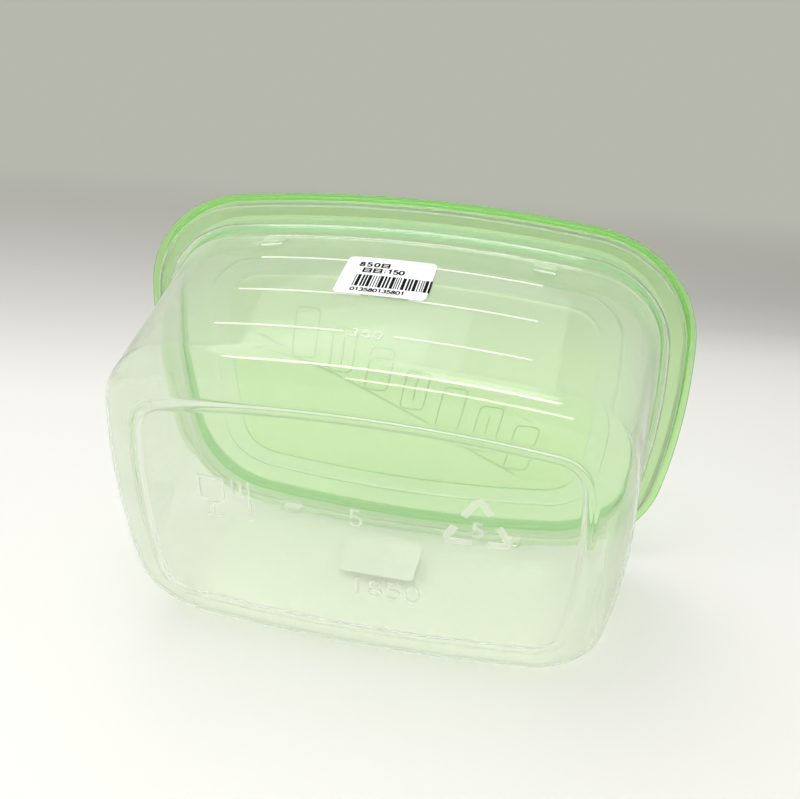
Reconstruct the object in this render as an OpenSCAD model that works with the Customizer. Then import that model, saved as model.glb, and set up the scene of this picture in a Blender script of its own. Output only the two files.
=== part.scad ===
// Deep rectangular food box of clear plastic with a press-on lid and two price labels.
// The box stands on its foot ring: Z is up, X runs along the length, and the origin is the
// centre of the outline at the height of the table. The front wall, with the lines, is at -Y.
// Every wall is a loft through rounded outlines whose sides bow gently outwards.

/* [Rim line] */
// Length over the collar just under the rim
rim_l = 195.2; // [150:0.2:260]
// Width over the collar just under the rim
rim_w = 138; // [110:0.2:200]
// Corner radius of the collar just under the rim
rim_corner_r = 37; // [24:0.5:48]
// Radius of the long sides' outward bow at the rim
long_bow_r = 490; // [300:10:2000]
// Radius of the short sides' outward bow at the rim
short_bow_r = 268; // [180:4:1500]

/* [Walls and floor] */
// Height of the box from the table to the top of its rim
box_h = 92.4; // [84:0.2:140]
// Thickness of the side walls
wall_t = 0.8; // [0.6:0.1:1.2]
// Thickness of the floor
floor_t = 1; // [0.8:0.1:1.6]
// How far the end walls taper in from the shoulder down to the heel
end_taper = 8.8; // [4:0.2:14]
// How far the side walls taper in from the shoulder down to the heel
side_taper = 5.4; // [3:0.2:10]
// Corner radius at the top of the straight wall
wall_top_corner_r = 30; // [22:0.5:36]
// Corner radius of the wall where it leaves the round heel
heel_corner_r = 26.6; // [18:0.2:32]
// Height at which the round heel ends and the straight wall starts
heel_z = 10.6; // [6:0.2:16]
// Run of the round heel from an end wall in to the foot ring
heel_end_w = 13.3; // [8:0.1:18]
// Run of the round heel from a side wall in to the foot ring
heel_side_w = 15.8; // [8:0.1:20]

/* [Foot ring] */
// Corner radius of the foot ring
foot_corner_r = 12.6; // [8:0.2:20]
// Width of the foot ring's flat edge
foot_ring_w = 2.4; // [1.6:0.2:4]
// Height of the floor's outside above the table
foot_ring_h = 1.2; // [0.8:0.1:2.4]
// Run of the slope on each side of the foot ring
foot_slope_w = 0.8; // [0.3:0.1:1]

/* [Rim] */
// Drop from the rim's top to the upper end of the straight wall
shoulder_drop = 13.2; // [10:0.2:18]
// Step outwards from the straight wall to the collar
shoulder_w = 3.5; // [2:0.1:6]
// Height of the outward shoulder between the straight wall and the collar
shoulder_h = 4.2; // [3:0.2:6]
// Inward lean of the collar, which grips the lid
collar_lean = 0.7; // [0:0.1:1.2]
// Width of the flange from the collar's outside to the lip's outside
flange_w = 6.5; // [5:0.1:9]
// Drop of the turned-down lip below the rim's top
lip_drop = 6.2; // [4:0.1:8]
// Radius of the rim's rounded edges
rim_round_r = 0.9; // [0.5:0.1:1.4]

/* [Graduations] */
// Height of the lowest line on the front wall
low_mark_z = 21.2; // [16:0.2:30]
// Height of the middle line
middle_mark_z = 42.3; // [34:0.2:48]
// Height of the highest line
high_mark_z = 64.4; // [54:0.2:66]
// Distance from a line's end to the end of the rim line
mark_end_inset = 49; // [44:1:70]
// Gap left for the figures in the middle of a line
mark_gap = 15.6; // [8:0.2:30]
// Height of a line's section along the wall
mark_w = 0.9; // [0.6:0.1:2]
// How far a line stands out of the wall
mark_proud = 0.35; // [0.2:0.05:0.6]

/* [Denesting lugs] */
// Distance from a lug's centre to the end of the rim line
lug_end_inset = 49; // [42:0.2:70]
// Length of a lug along the wall
lug_l = 9; // [6:0.5:16]
// Height of a lug below the shoulder
lug_h = 6; // [4:0.2:12]
// How far a lug stands out of the wall
lug_proud = 0.6; // [0.4:0.1:1.6]
// Width of the slope round a lug
lug_slope = 1; // [0.5:0.1:2]

/* [Lid] */
// Thickness of the lid
lid_t = 0.8; // [0.6:0.1:1.2]
// Running gap between the lid and the box's rim, all the way up
fit_gap = 0.35; // [0.25:0.05:0.6]
// Gap between the flange's top and the lid's rim above it
seat_gap = 0.2; // [0.1:0.05:0.4]
// Depth of the lid's moat below the top of its rim
moat_drop = 7.1; // [5:0.1:9]
// Inward taper of the plug wall from its top to its foot
plug_taper = 1.45; // [1:0.05:2]
// Width of the moat's flat floor
moat_w = 3.2; // [2:0.2:5]
// Width of the slope from the moat up to the shelf
slope_w = 4; // [3:0.2:6]
// Rise of that slope
slope_h = 2.3; // [1:0.1:3]
// Width of the shelf between the slope and the panel's edge
shelf_w = 4.7; // [3:0.1:6]
// Rise from the shelf to the panel
panel_step = 1.2; // [0.6:0.1:2]
// Depth of the recess that takes the foot ring of a box stacked on top
recess_d = 0.8; // [0.5:0.1:1.2]
// Gap around that foot ring
stack_gap = 1.6; // [1:0.1:2.5]
// Depth of the straight skirt below the top of the lid's rim
skirt_drop = 3.4; // [2.5:0.1:5]
// Reach of the flared edge beyond the skirt
flare_w = 2.3; // [1:0.1:4]
// Drop of the flared edge below the straight skirt
flare_drop = 1.3; // [0.8:0.1:2]

/* [Lid band] */
// Width of the raised diagonal band across the lid's recess
band_w = 26; // [12:1:36]
// Turn of the band from the lid's length
band_turn = 26; // [0:1:40]
// Height of the band above the recess
band_h = 0.5; // [0.3:0.1:0.8]
// Distance from the band's ends to the edge of the recess
band_inset = 5; // [2:0.5:12]

/* [Label] */
// Length of a price label
label_l = 30.4; // [20:0.2:50]
// Height of a price label
label_h = 24.2; // [14:0.2:36]
// Corner radius of a label
label_corner_r = 2; // [1:0.5:5]
// Thickness of a label
label_t = 0.15; // [0.1:0.05:0.3]
// Sideways place of the front label's middle
label_x = -2; // [-30:1:30]
// Drop from the shoulder to the front label's upper edge
label_drop = 12.7; // [2:0.1:30]
// Sideways place of the back label's middle
back_label_x = -3; // [-30:1:30]
// Drop from the shoulder to the back label's upper edge
back_label_drop = 10.7; // [2:0.1:30]
// Gap behind a label: from the raised lines in front, and from the wall at the back
label_gap = 0.05; // [0.05:0.05:0.3]

/* [Smoothness] */
// Steps in a quarter of the bow of a long side
long_steps = 4; // [2:1:8]
// Steps in each corner
corner_steps = 8; // [4:1:14]
// Steps in a quarter of the bow of a short side
short_steps = 3; // [2:1:6]
// Steps up the round heel
heel_steps = 6; // [3:1:10]

/* [Hidden] */

quarter_steps = short_steps + corner_steps + long_steps;
ring_n = 4 * quarter_steps;
edge_steps = 3;
shoulder_steps = 5;

// Heights worked out from the driving sizes
shoulder_z = box_h - shoulder_drop;
collar_z = shoulder_z + shoulder_h;
lip_z = box_h - lip_drop;
floor_z = foot_ring_h + floor_t;
lid_under_z = box_h + seat_gap;
lid_top_z = lid_under_z + lid_t;
moat_z = lid_top_z - moat_drop;
shelf_z = moat_z + slope_h;
panel_z = shelf_z + panel_step;
recess_z = panel_z - recess_d;
skirt_z = lid_top_z - skirt_drop;

// Offsets from the rim line worked out from the driving sizes
plug_o = -wall_t - fit_gap;
plug_foot_o = plug_o - plug_taper;
moat_o = plug_foot_o - lid_t - moat_w;
shelf_o = moat_o - slope_w;
panel_o = shelf_o - shelf_w;
skirt_o = flange_w + fit_gap + lid_t;
flare_o = skirt_o + flare_w;
thin_step = 0.4;

// How deep the lines and lugs are rooted in the wall, and a line's bevel and spacing
root = 0.3;
mark_bevel = mark_w / 4;
mark_step = 16;
label_steps = 4;
mark_half_l = rim_l / 2 - mark_end_inset;
lug_x = rim_l / 2 - lug_end_inset;
label_z = shoulder_z - label_drop - label_h / 2;
back_label_z = shoulder_z - back_label_drop - label_h / 2;

function mix(p, q, s) = p + (q - p) * s;
function smooth(s) = s * s * (3 - 2 * s);
function turn(v) = [v.y, -v.x];
function reversed(v) = [for (i = [len(v) - 1 : -1 : 0]) v[i]];

// An outline is [half length, half width, corner radius, height].
function rim(o, z) = [rim_l / 2 + o, rim_w / 2 + o, rim_corner_r + o, z];
function wall_top(o, z) =
    [rim_l / 2 - shoulder_w + o, rim_w / 2 - shoulder_w + o, wall_top_corner_r + o, z];
function heel(o, z) =
    [wall_top(o, z)[0] - end_taper, wall_top(o, z)[1] - side_taper, heel_corner_r + o, z];
function foot(o, z) =
    [heel(o, z)[0] - heel_end_w, heel(o, z)[1] - heel_side_w, foot_corner_r + o, z];

// The straight wall at height z, moved out by o
function wall_at(o, z) =
    mix(heel(o, heel_z), wall_top(o, shoulder_z), (z - heel_z) / (shoulder_z - heel_z));

// The bows keep their centres as an outline grows or shrinks with its sides.
function long_r(q) = long_bow_r + q[1] - rim_w / 2;
function short_r(q) = short_bow_r + q[0] - rim_l / 2;
function long_centre(q) = [0, q[1] - long_r(q)];
function short_centre(q) = [q[0] - short_r(q), 0];

// Centre of the corner arc that runs smoothly into both bows
function corner_centre(q) =
    let (a = long_centre(q), b = short_centre(q), d = norm(b - a), u = (b - a) / d,
         ra = long_r(q) - q[2], rb = short_r(q) - q[2],
         along = (d * d + ra * ra - rb * rb) / (2 * d))
    a + u * along + turn(u) * sqrt(ra * ra - along * along);

function arc(c, r, from, to, n) =
    [for (i = [0 : n - 1]) let (t = mix(from, to, i / n)) c + r * [cos(t), sin(t)]];

// A quarter of an outline, from the middle of the short side to the middle of the long side
function quarter(q) =
    let (a = long_centre(q), b = short_centre(q), c = corner_centre(q),
         low = atan2(c.y - b.y, c.x - b.x), high = atan2(c.y - a.y, c.x - a.x))
    concat(arc(b, short_r(q), 0, low, short_steps),
           arc(c, q[2], low, high, corner_steps),
           arc(a, long_r(q), high, 90, long_steps),
           [[0, q[1]]]);

// The closed outline, anticlockwise from +X, at its height
function ring(q) =
    let (p = quarter(q), n = quarter_steps)
    concat([for (i = [0 : n - 1]) [p[i].x, p[i].y, q[3]]],
           [for (i = [n : -1 : 1]) [-p[i].x, p[i].y, q[3]]],
           [for (i = [0 : n - 1]) [-p[i].x, -p[i].y, q[3]]],
           [for (i = [n : -1 : 1]) [p[i].x, -p[i].y, q[3]]]);

// A rounded edge of the rim: a quarter turn round (o, z), from one bearing to another
function rim_round(o, z, r, from, to) =
    [for (i = [0 : edge_steps]) let (t = mix(from, to, i / edge_steps)) rim(o + r * cos(t), z + r * sin(t))];

// Outlines between two others, eased at both ends
function eased(p, q, n) =
    [for (i = [0 : n]) let (m = mix(p, q, smooth(i / n))) [m[0], m[1], m[2], mix(p[3], q[3], i / n)]];

// Outlines round the heel: a quarter of an ellipse from flat to upright
function heel_round(p, q, n) =
    [for (i = [0 : n]) let (t = 90 * i / n, m = mix(p, q, sin(t)))
        [m[0], m[1], m[2], mix(p[3], q[3], 1 - cos(t))]];

// A solid through a list of outlines. Its first and last outlines are closed by flat faces.
module loft(outlines) {
    m = len(outlines);
    points = [for (q = outlines) each ring(q)];
    sides = [for (j = [0 : m - 2], i = [0 : ring_n - 1])
        let (k = (i + 1) % ring_n, a = j * ring_n, b = a + ring_n)
        each [[a + i, b + i, b + k], [a + i, b + k, a + k]]];
    first = [for (i = [0 : ring_n - 1]) i];
    last = [for (i = [ring_n - 1 : -1 : 0]) (m - 1) * ring_n + i];
    polyhedron(points = points, faces = concat([first], sides, [last]), convexity = 8);
}

// Outlines up the outside of the box, from the floor's underside to the lip's foot
function box_outside() = concat(
    [foot(-foot_ring_w - foot_slope_w, foot_ring_h),
     foot(-foot_ring_w, 0),
     foot(0, 0)],
    heel_round(foot(foot_slope_w, foot_ring_h), heel(0, heel_z), heel_steps),
    eased(wall_top(0, shoulder_z), rim(collar_lean, collar_z), shoulder_steps),
    rim_round(rim_round_r, box_h - wall_t - rim_round_r, rim_round_r, 180, 90),
    [rim(flange_w - wall_t, box_h - wall_t),
     rim(flange_w - wall_t, lip_z)]);

// Outlines from the lip's foot over the rim and down the inside to the floor
function box_inside() = concat(
    [rim(flange_w, lip_z)],
    rim_round(flange_w - rim_round_r, box_h - rim_round_r, rim_round_r, 0, 90),
    rim_round(rim_round_r - wall_t, box_h - rim_round_r, rim_round_r, 90, 180),
    eased(rim(collar_lean - wall_t, collar_z + wall_t / 2), wall_top(-wall_t, shoulder_z + wall_t / 2),
          shoulder_steps),
    reversed(heel_round(foot(foot_slope_w, floor_z), heel(-wall_t, heel_z), heel_steps)));

// A point on the front wall, at x along it and height z, standing o out of it
function front_wall(x, z, o) =
    let (q = wall_at(o, z), r = long_r(q), c = long_centre(q)) [x, -c.y - sqrt(r * r - x * x), z];

// A strip wrapped on the front wall through columns of [x, low z, high z]. It reaches from
// one distance out of the wall to another, and its outer edges are bevelled.
module wall_strip(columns, inner, outer, bevel) {
    points = [for (c = columns)
        for (s = [[c[1], inner], [c[2], inner], [c[2] - bevel, outer], [c[1] + bevel, outer]])
            front_wall(c[0], s[0], s[1])];
    sides = [for (i = [0 : len(columns) - 2], j = [0 : 3]) let (k = (j + 1) % 4, a = 4 * i, b = a + 4)
        each [[a + j, b + k, a + k], [a + j, b + j, b + k]]];
    end = len(points) - 4;
    polyhedron(points = points, faces = concat([[0, 1, 2, 3]], sides, [[end + 3, end + 2, end + 1, end]]));
}

// A raised line along the front wall between two places
module wall_bar(from, to, z) {
    n = max(1, ceil((to - from) / mark_step));
    wall_strip([for (i = [0 : n]) [mix(from, to, i / n), z - mark_w / 2, z + mark_w / 2]],
               -root, mark_proud, mark_bevel);
}

module graduations() {
    for (z = [low_mark_z, middle_mark_z, high_mark_z]) {
        wall_bar(-mark_half_l, -mark_gap / 2, z);
        wall_bar(mark_gap / 2, mark_half_l, z);
    }
}

// Four corners on the front wall: lower left, lower right, upper right, upper left
function wall_patch(x, half_l, low, high, o) =
    [for (k = [[-1, low], [1, low], [1, high], [-1, high]]) front_wall(x + k[0] * half_l, k[1], o)];

// A sloped lug under the shoulder of the front wall that keeps nested boxes from jamming
module lug(x) {
    low = shoulder_z - lug_h;
    points = concat(wall_patch(x, lug_l / 2, low, shoulder_z, -root),
                    wall_patch(x, lug_l / 2 - lug_slope, low + lug_slope, shoulder_z, lug_proud));
    sides = [for (i = [0 : 3]) let (k = (i + 1) % 4) each [[i, k + 4, k], [i, i + 4, k + 4]]];
    polyhedron(points = points, faces = concat([[0, 1, 2, 3]], sides, [[7, 6, 5, 4]]));
}

module tub() {
    color([0.86, 0.9, 0.84, 0.5]) {
        loft(concat(box_outside(), box_inside()));
        graduations();
        for (side = [0, 180], x = [-lug_x, lug_x]) rotate(side) lug(x);
    }
}

// Outlines along the lid's underside, from the recess out to the flared edge
function lid_underside() = concat(
    [foot(stack_gap, recess_z - lid_t),
     foot(stack_gap + recess_d, panel_z - lid_t),
     rim(panel_o + lid_t / 2, panel_z - lid_t),
     rim(panel_o + lid_t / 2 + thin_step, shelf_z - lid_t)],
    eased(rim(shelf_o, shelf_z - lid_t), rim(moat_o, moat_z - lid_t), edge_steps),
    rim_round(plug_foot_o - rim_round_r, moat_z - lid_t + rim_round_r, rim_round_r, -90, 0),
    rim_round(plug_o + rim_round_r / 2, lid_under_z - rim_round_r / 2, rim_round_r / 2, 180, 90),
    [rim(flange_w + fit_gap, lid_under_z),
     rim(flange_w + fit_gap, skirt_z),
     rim(skirt_o, skirt_z - flare_drop * 0.75),
     rim(flare_o, skirt_z - flare_drop - lid_t / 2)]);

// Outlines along the lid's top, from the flared edge back in to the recess
function lid_topside() = concat(
    [rim(flare_o, skirt_z - flare_drop + lid_t / 2),
     rim(skirt_o + lid_t, skirt_z - flare_drop * 0.25),
     rim(skirt_o, skirt_z + lid_t)],
    rim_round(skirt_o - rim_round_r, lid_top_z - rim_round_r, rim_round_r, 0, 90),
    rim_round(plug_o - lid_t + rim_round_r, lid_top_z - rim_round_r, rim_round_r, 90, 180),
    rim_round(plug_foot_o - lid_t - rim_round_r / 2, moat_z + rim_round_r / 2, rim_round_r / 2, 0, -90),
    eased(rim(moat_o, moat_z), rim(shelf_o, shelf_z), edge_steps),
    [rim(panel_o + thin_step, shelf_z),
     rim(panel_o, panel_z),
     foot(stack_gap + recess_d, panel_z),
     foot(stack_gap, recess_z)]);

// The raised diagonal band runs across the recess and follows its outline at both ends.
module band() {
    translate([0, 0, recess_z - lid_t / 2])
        linear_extrude(height = lid_t / 2 + band_h)
            intersection() {
                rotate(band_turn) square([rim_l, band_w], center = true);
                polygon([for (p = ring(foot(stack_gap - band_inset, 0))) [p.x, p.y]]);
            }
}

module lid() {
    color([0.66, 0.87, 0.5, 0.7]) {
        loft(concat(lid_underside(), lid_topside()));
        band();
    }
}

// Columns of a label from its left edge to its right one, round its corners
function label_columns() =
    let (x = label_l / 2 - label_corner_r, z = label_h / 2 - label_corner_r, steps = [0 : 30 : 90])
    concat([for (t = steps) [-x - label_corner_r * cos(t), z + label_corner_r * sin(t)]],
           [for (i = [1 : label_steps - 1]) [mix(-x, x, i / label_steps), z + label_corner_r]],
           [for (t = steps) [x + label_corner_r * sin(t), z + label_corner_r * cos(t)]]);

// A label wrapped on the front wall, with its back some distance off the wall
module sticker(x, z, gap) {
    color([0.97, 0.97, 0.96])
        wall_strip([for (c = label_columns()) [x + c.x, z - c.y, z + c.y]], gap, gap + label_t, 0);
}

module label() {
    sticker(label_x, label_z, mark_proud + label_gap);
}

// The back wall is the front wall turned half way round.
module back_label() {
    rotate(180) sticker(-back_label_x, back_label_z, label_gap);
}

tub();
lid();
label();
back_label();
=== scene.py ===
# %% [markdown]
# # A clear food box with a green lid
# This lesson dresses a imported model of a deep food box: a tub of clear, slightly milky plastic, a
# press-on lid of translucent green plastic, and a white price label on the front wall and on the back
# one. Clear plastic shows both sides of every wall at once, so the look rests on real thickness, real
# rims and soft edges. The imported model gives the places and the sizes. It is loaded first and never
# changed.

# %% Load the imported model
import math

import bpy
import numpy as np
from mathutils import Matrix, Vector


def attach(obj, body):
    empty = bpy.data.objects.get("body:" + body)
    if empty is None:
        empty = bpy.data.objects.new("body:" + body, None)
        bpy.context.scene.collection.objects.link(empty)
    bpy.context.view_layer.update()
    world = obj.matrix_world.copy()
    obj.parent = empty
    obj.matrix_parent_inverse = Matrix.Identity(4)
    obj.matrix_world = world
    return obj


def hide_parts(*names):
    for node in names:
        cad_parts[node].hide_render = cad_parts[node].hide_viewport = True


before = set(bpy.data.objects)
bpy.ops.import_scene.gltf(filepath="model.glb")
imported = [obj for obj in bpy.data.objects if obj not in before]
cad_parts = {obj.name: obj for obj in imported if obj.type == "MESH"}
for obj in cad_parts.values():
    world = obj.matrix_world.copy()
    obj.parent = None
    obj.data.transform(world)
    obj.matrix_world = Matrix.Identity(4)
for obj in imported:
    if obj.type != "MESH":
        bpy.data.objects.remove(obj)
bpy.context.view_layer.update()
MM = 0.001
print("packed nodes:", sorted(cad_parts))

# %% [markdown]
# The same few driving sizes shape the whole object. Lengths are in millimetres here and become
# metres only when a mesh is made. The rim line is the outline of the collar just under the rim:
# tub and lid both take their rims from it, so they nest as the real ones do. The sizes are the
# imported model's own, but the foot ring is a little lower and narrower here, and the lines, the
# lugs and the lid's band are finer, because clear plastic shows each of their edges twice.

# %% Driving sizes in millimetres
RIM = dict(length=195.2, width=138.0, corner=37.0)
LONG_BOW, SHORT_BOW = 490.0, 268.0
BOX_H, WALL, FLOOR = 92.4, 0.8, 1.0
SHOULDER_DROP, SHOULDER_W, SHOULDER_H, COLLAR_LEAN = 13.2, 3.5, 4.2, 0.7
END_TAPER, SIDE_TAPER, WALL_TOP_CORNER = 8.8, 5.4, 30.0
HEEL_CORNER, HEEL_Z, HEEL_END_W, HEEL_SIDE_W = 26.6, 10.6, 13.3, 15.8
FOOT_CORNER, FOOT_RING_W, FOOT_RING_H, FOOT_SLOPE = 12.6, 1.6, 0.7, 0.9
FLANGE_W, LIP_DROP = 6.5, 6.2
LID, FIT_GAP, SEAT_GAP = 0.8, 0.35, 0.2
MOAT_DROP, PLUG_TAPER, MOAT_W = 7.1, 1.45, 3.2
SLOPE_W, SLOPE_H, SHELF_W, PANEL_STEP, PANEL_LEAN = 4.0, 2.3, 4.7, 1.2, 0.9
RECESS_D, STACK_GAP = 0.8, 1.6
SKIRT_DROP, FLARE_W, FLARE_DROP = 3.4, 2.3, 1.3

# %% [markdown]
# Heights run up from the table under the foot ring. Offsets, whose names end in _O, run
# outwards from the rim line, so a negative one lies inside it. All of them are worked out from
# the sizes above, so that tub and lid still fit when one of those changes.

# %% Heights and offsets that follow from them
SHOULDER_Z = BOX_H - SHOULDER_DROP
COLLAR_Z = SHOULDER_Z + SHOULDER_H
LIP_Z = BOX_H - LIP_DROP
FLOOR_Z = FOOT_RING_H + FLOOR
LID_UNDER_Z = BOX_H + SEAT_GAP
LID_TOP_Z = LID_UNDER_Z + LID
MOAT_Z = LID_TOP_Z - MOAT_DROP
SHELF_Z = MOAT_Z + SLOPE_H
PANEL_Z = SHELF_Z + PANEL_STEP
RECESS_Z = PANEL_Z - RECESS_D
SKIRT_Z = LID_TOP_Z - SKIRT_DROP
PLUG_O = -WALL - FIT_GAP
PLUG_FOOT_O = PLUG_O - PLUG_TAPER
MOAT_O = PLUG_FOOT_O - LID - MOAT_W
SHELF_O = MOAT_O - SLOPE_W
PANEL_O = SHELF_O - SHELF_W
SKIRT_O = FLANGE_W + FIT_GAP + LID
FLARE_O = SKIRT_O + FLARE_W
print("rim line", RIM["length"], "by", RIM["width"], "mm, foot ring", FOOT_RING_H, "mm high")

# %% [markdown]
# An outline is a rectangle with round corners whose sides bow outwards a little. It is written
# as one station of four numbers: half length, half width, corner radius and height. A wall is
# then just a path through stations, and its sections never need to be drawn one by one. Each
# function below gives a station that is moved out by an offset o at a height z.

# %% Stations on the rim, the wall and the foot
def rim(o, z):
    """The rim line moved out by o."""
    return np.array([RIM["length"] / 2 + o, RIM["width"] / 2 + o, RIM["corner"] + o, z])


def wall_top(o, z):
    """The top of the wall: the shoulder's width inside the rim line, with a corner of its own."""
    top = rim(o - SHOULDER_W, z)
    top[2] = WALL_TOP_CORNER + o
    return top


def heel(o, z):
    """The foot of the wall: its top drawn in by the taper of the ends and of the sides."""
    top = wall_top(o, z)
    return np.array([top[0] - END_TAPER, top[1] - SIDE_TAPER, HEEL_CORNER + o, z])


def foot(o, z):
    """The foot ring's outer edge: the heel drawn in by its width at the ends and at the sides."""
    low = heel(o, z)
    return np.array([low[0] - HEEL_END_W, low[1] - HEEL_SIDE_W, FOOT_CORNER + o, z])


def wall_at(o, z):
    """The straight wall at height z, moved out by o: a straight mix of heel and wall top."""
    share = (z - HEEL_Z) / (SHOULDER_Z - HEEL_Z)
    return heel(o, z) + (wall_top(o, z) - heel(o, z)) * share


print("heel half length", heel(0, HEEL_Z)[0], "foot half width", round(foot(0, 0)[1], 2))

# %% [markdown]
# Four small lugs stand under the shoulder and keep nested tubs from jamming. They are part of
# the wall's surface, so the outline's columns stand close where a lug begins and ends, and the
# rest of them are spread evenly. A mirror image of a quarter closes the outline.

# %% Lugs and the columns that they need
LUG_FROM, LUG_TO, LUG_LOW, LUG_PROUD = 44.1, 53.1, SHOULDER_Z - 6.0, 0.5
LUG_SLOPE, LUG_RISE = 1.0, 1.6
SHORT_STEPS, CORNER_STEPS, END_STEPS = 10, 22, 2
MIDDLE_COLUMNS, LUG_COLUMNS, PAST_LUG = 18, 4, 4
bow_x = np.unique(np.concatenate([
    np.linspace(0, LUG_FROM, MIDDLE_COLUMNS),
    np.linspace(LUG_FROM, LUG_FROM + LUG_SLOPE, LUG_COLUMNS),
    np.linspace(LUG_FROM + LUG_SLOPE, LUG_TO - LUG_SLOPE, LUG_COLUMNS),
    np.linspace(LUG_TO - LUG_SLOPE, LUG_TO, LUG_COLUMNS),
    [LUG_TO + PAST_LUG],
]))[::-1]
print(len(bow_x), "columns in a quarter of a long side")

# %% [markdown]
# Stations become points here. A rounded rectangle could be drawn as a curve and bevelled, but
# then each section would have its points in other places. Worked out as whole arrays, all the
# outlines have the same number of points in the same order, and a wall is a grid of quads.

# %% Outlines as arrays
def arcs(centre_x, centre_y, radius, t):
    """Points of many arcs at once: an array of stations by angles by 2."""
    x = centre_x[:, None] + radius[:, None] * np.cos(t)
    y = centre_y[:, None] + radius[:, None] * np.sin(t)
    return np.stack([x, y], -1)


def outlines(stations):
    """Points of many outlines at once, as an array of stations by points by 3.

    Each quarter is three arcs that meet smoothly: the short side's bow about B, the corner
    about C and the long side's bow about A. C lies where circles round A and B with the bow
    radii less the corner radius cross. The long bow has fixed x places, so that columns of
    neighbouring outlines line up, and mirror images of the quarter close the outline."""
    a, b, r, z = np.asarray(stations, float).T
    nought = np.zeros(len(a))
    long_r = LONG_BOW + b - RIM["width"] / 2
    short_r = SHORT_BOW + a - RIM["length"] / 2
    ay, bx = b - long_r, a - short_r
    d = np.hypot(bx, ay)
    ux, uy = bx / d, -ay / d
    ra, rb = long_r - r, short_r - r
    along = (d * d + ra * ra - rb * rb) / (2 * d)
    up = np.sqrt(ra * ra - along * along)
    cx, cy = ux * along + uy * up, ay + uy * along - ux * up
    low = np.arctan2(cy, cx - bx)
    high = np.arctan2(cy - ay, cx)
    short = arcs(bx, nought, short_r, low[:, None] * np.arange(SHORT_STEPS) / SHORT_STEPS)
    turn = (high - low)[:, None] * np.arange(CORNER_STEPS) / CORNER_STEPS
    corner = arcs(cx, cy, r, low[:, None] + turn)
    start = (long_r * np.cos(high))[:, None]
    ends = start + (bow_x[0] - start) * np.arange(END_STEPS) / END_STEPS
    x = np.concatenate([ends, np.repeat(bow_x[None], len(a), 0)], 1)
    bow = np.stack([x, ay[:, None] + np.sqrt(long_r[:, None] ** 2 - x * x)], -1)
    q = np.concatenate([short, corner, bow], 1)
    n = q.shape[1] - 1
    ahead, back = q[:, :n], q[:, n:0:-1]
    ring = np.concatenate([ahead, back * [-1, 1], ahead * [-1, -1], back * [1, -1]], 1)
    return np.concatenate([ring, np.repeat(z[:, None, None], ring.shape[1], 1)], -1)


print("an outline has", outlines([rim(0, 0)]).shape[1], "points")

# %% [markdown]
# Mouldings have no sharp corners. A section is written with sharp ones, which is easy to read,
# and these helpers round them, each with a cut of its own. A bevel modifier would round them
# all alike, and would leave the columns uneven.

# %% Paths of stations
MOST = 0.49


def rounded(path, cuts, steps=4):
    """A path of stations with its corners rounded: each corner is replaced by a quadratic
    curve that starts and ends its cut's length away from it, measured across the section, and
    never past about half of a side."""
    p = [np.asarray(q, float) for q in path]
    out = [p[0]]
    for before, here, after, cut in zip(p[:-2], p[1:-1], p[2:], cuts):
        sides = []
        for other in (before, after):
            v = other - here
            sides.append(here + v * min(cut / math.hypot(v[0], v[3]), MOST))
        for s in np.linspace(0, 1, steps + 1):
            out.append((1 - s) ** 2 * sides[0] + 2 * s * (1 - s) * here + s * s * sides[1])
    out.append(p[-1])
    return out


def heel_round(start, end, steps):
    """Stations round the heel: across goes by the sine and up by one minus the cosine."""
    out = []
    for t in np.linspace(0, math.pi / 2, steps + 1):
        q = start + (end - start) * math.sin(t)
        q[3] = start[3] + (end[3] - start[3]) * (1 - math.cos(t))
        out.append(q)
    return out


def eased(start, end, steps):
    """Stations between two others, across by the smooth step and up evenly."""
    out = []
    for k in np.linspace(0, 1, steps + 1):
        q = start + (end - start) * k * k * (3 - 2 * k)
        q[3] = start[3] + (end[3] - start[3]) * k
        out.append(q)
    return out


print("a rounded corner becomes", len(rounded([rim(0, 0), rim(5, 0), rim(5, 5)], (1,))) - 2, "stations")

# %% [markdown]
# Every piece is made a mesh in the same way: its points in millimetres are scaled to metres,
# and the object stays at the origin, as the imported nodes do.

# %% Meshes from points
def mesh_from(name, verts, faces, smooth=True):
    """A mesh object at the origin from points in millimetres."""
    mesh = bpy.data.meshes.new(name)
    mesh.from_pydata((np.asarray(verts) * MM).tolist(), [], [list(map(int, f)) for f in faces])
    mesh.validate()
    mesh.polygons.foreach_set("use_smooth", np.full(len(mesh.polygons), smooth))
    obj = bpy.data.objects.new(name, mesh)
    bpy.context.scene.collection.objects.link(obj)
    return obj


def shell(name, points):
    """A closed mesh from an array of outlines: quads between neighbouring outlines, and one
    flat face at each end of the path."""
    levels, ring = points.shape[:2]
    i = np.arange(levels - 1)[:, None] * ring
    j = np.arange(ring)[None]
    k = (j + 1) % ring
    quads = np.stack([i + j, i + k, i + ring + k, i + ring + j], -1).reshape(-1, 4)
    ends = [np.arange(ring)[::-1], (levels - 1) * ring + np.arange(ring)]
    obj = mesh_from(name, points.reshape(-1, 3), list(quads) + ends)
    print(name, "has", len(obj.data.polygons), "faces")
    return obj

# %% [markdown]
# ## The tub
# The tub is one moulding. Its section runs from the floor over the foot ring, round the heel,
# up the wall, out at the shoulder, up the collar and over the flange to the turned-down lip,
# and then back the same way inside. A single sheet with a thickness modifier would be quicker,
# but drawing both sides keeps the real wall at every bend, and refraction shows that. The lugs
# are part of the surface too: the wall's own points are moved out, so light bends through them.

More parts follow.
